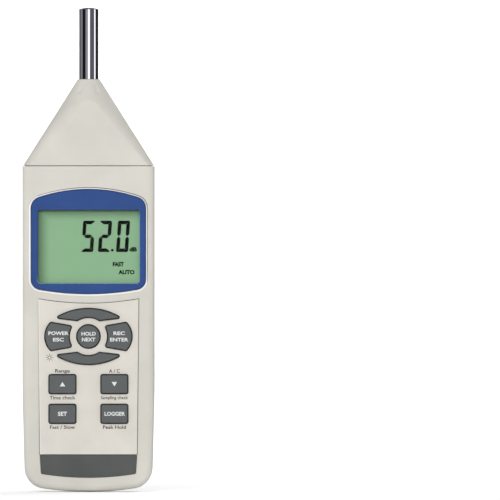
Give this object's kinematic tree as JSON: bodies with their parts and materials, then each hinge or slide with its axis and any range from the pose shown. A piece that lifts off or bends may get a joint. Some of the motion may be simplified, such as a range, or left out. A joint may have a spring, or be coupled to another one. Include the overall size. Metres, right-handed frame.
{
  "type": "sound level meter",
  "caption": "Handheld sound level meter: flat case with display and keypad, tapered nose and slim microphone tube, folding stand and battery cover.",
  "frame": {"origin": "centre of the base, at half of the overall depth", "axes": "+Z from the base to the microphone, -Y is the display side, +X is the viewer's right"},
  "size_m": [0.068, 0.045, 0.25],
  "materials": {
    "case": "moulded ABS, fine texture",
    "panel": "satin inlay",
    "bezel": "satin blue",
    "window": "clear acrylic",
    "key": "soft matte grey",
    "trim": "dark grey",
    "web": "matte",
    "carbon": "conductive",
    "lcd": "liquid crystal cell",
    "light_guide": "frosted acrylic",
    "frame": "moulded",
    "zebra": "elastomer",
    "board": "solder mask",
    "chips": "epoxy",
    "steel": "zinc plated",
    "tube": "polished",
    "brass": "machined",
    "card": "moulded",
    "socket": "moulded",
    "socket_green": "moulded",
    "red": "moulded",
    "trimmer": "moulded",
    "rotor": "nylon",
    "cell": "printed sleeve",
    "insulator": "moulded",
    "cable": "jacket"
  },
  "bodies": {
    "case": {"front_case": "case", "rear_case": "case", "nose_front": "case", "nose_rear": "case", "display_bezel": "bezel", "display_window": "window", "keypad_panel": "panel", "lower_trim": "trim", "case_screws": "steel", "nose_screws": "steel", "stand_pin": "steel", "tripod_insert": "brass", "jack_cover_pin": "steel", "keypad_web": "web", "key_contacts": "carbon", "lcd_glass": "lcd", "lcd_backlight": "light_guide", "lcd_frame": "frame", "zebra_strips": "zebra", "main_board": "board", "board_chips": "chips", "board_screws": "steel", "sd_socket": "steel", "dc_jack": "socket", "serial_jack": "socket", "analog_jack": "socket_green", "reset_switch": "socket", "cal_trimmer": "trimmer", "batteries": "cell", "battery_springs": "steel", "battery_plates": "steel", "battery_leads": "red", "mic_tube": "tube", "mic_grid": "tube", "mic_capsule": "steel", "mic_insulator": "insulator", "mic_clamp": "steel", "preamp_board": "board", "mic_cable": "cable"},
    "stand": {"stand": "case"},
    "battery_cover": {"battery_cover": "case", "battery_cover_screws": "steel"},
    "jack_cover": {"jack_cover": "case"},
    "sd_card": {"sd_card": "card"},
    "reset_button": {"reset_button": "red"},
    "cal_rotor": {"cal_rotor": "rotor"},
    "power_key": {"power_key": "key"},
    "hold_key": {"hold_key": "key"},
    "record_key": {"record_key": "key"},
    "upper_blank_key": {"upper_blank_key": "key"},
    "lower_blank_key": {"lower_blank_key": "key"},
    "up_key": {"up_key": "key"},
    "down_key": {"down_key": "key"},
    "set_key": {"set_key": "key"},
    "logger_key": {"logger_key": "key"}
  },
  "joints": [
    {"name": "power_key_press", "type": "slide", "parent": "case", "child": "power_key", "axis": [0, 1, 0], "range_m": [0, 0.0012], "stiffness_N_per_m": 900},
    {"name": "hold_key_press", "type": "slide", "parent": "case", "child": "hold_key", "axis": [0, 1, 0], "range_m": [0, 0.0012], "stiffness_N_per_m": 900},
    {"name": "record_key_press", "type": "slide", "parent": "case", "child": "record_key", "axis": [0, 1, 0], "range_m": [0, 0.0012], "stiffness_N_per_m": 900},
    {"name": "upper_blank_key_press", "type": "slide", "parent": "case", "child": "upper_blank_key", "axis": [0, 1, 0], "range_m": [0, 0.0012], "stiffness_N_per_m": 900},
    {"name": "lower_blank_key_press", "type": "slide", "parent": "case", "child": "lower_blank_key", "axis": [0, 1, 0], "range_m": [0, 0.0012], "stiffness_N_per_m": 900},
    {"name": "up_key_press", "type": "slide", "parent": "case", "child": "up_key", "axis": [0, 1, 0], "range_m": [0, 0.0012], "stiffness_N_per_m": 900},
    {"name": "down_key_press", "type": "slide", "parent": "case", "child": "down_key", "axis": [0, 1, 0], "range_m": [0, 0.0012], "stiffness_N_per_m": 900},
    {"name": "set_key_press", "type": "slide", "parent": "case", "child": "set_key", "axis": [0, 1, 0], "range_m": [0, 0.0012], "stiffness_N_per_m": 900},
    {"name": "logger_key_press", "type": "slide", "parent": "case", "child": "logger_key", "axis": [0, 1, 0], "range_m": [0, 0.0012], "stiffness_N_per_m": 900},
    {"name": "stand_hinge", "type": "hinge", "parent": "case", "child": "stand", "pos_m": [0, 0.0198, 0.157], "axis": [1, 0, 0], "range_deg": [0, 60]},
    {"name": "battery_cover_lift", "type": "slide", "parent": "case", "child": "battery_cover", "axis": [0, 1, 0], "range_m": [0, 0.03]},
    {"name": "jack_cover_hinge", "type": "hinge", "parent": "case", "child": "jack_cover", "pos_m": [0.0331, -0.00345, 0.092], "axis": [0, 0, 1], "range_deg": [0, 100]},
    {"name": "sd_card_slide", "type": "slide", "parent": "case", "child": "sd_card", "axis": [-1, 0, 0], "range_m": [0, 0.024]},
    {"name": "reset_press", "type": "slide", "parent": "case", "child": "reset_button", "axis": [-1, 0, 0], "range_m": [0, 0.0005], "stiffness_N_per_m": 1500},
    {"name": "cal_rotor_turn", "type": "hinge", "parent": "case", "child": "cal_rotor", "pos_m": [0.0293, -0.0086, 0.1095], "axis": [1, 0, 0], "range_deg": [-130, 130]}
  ]
}
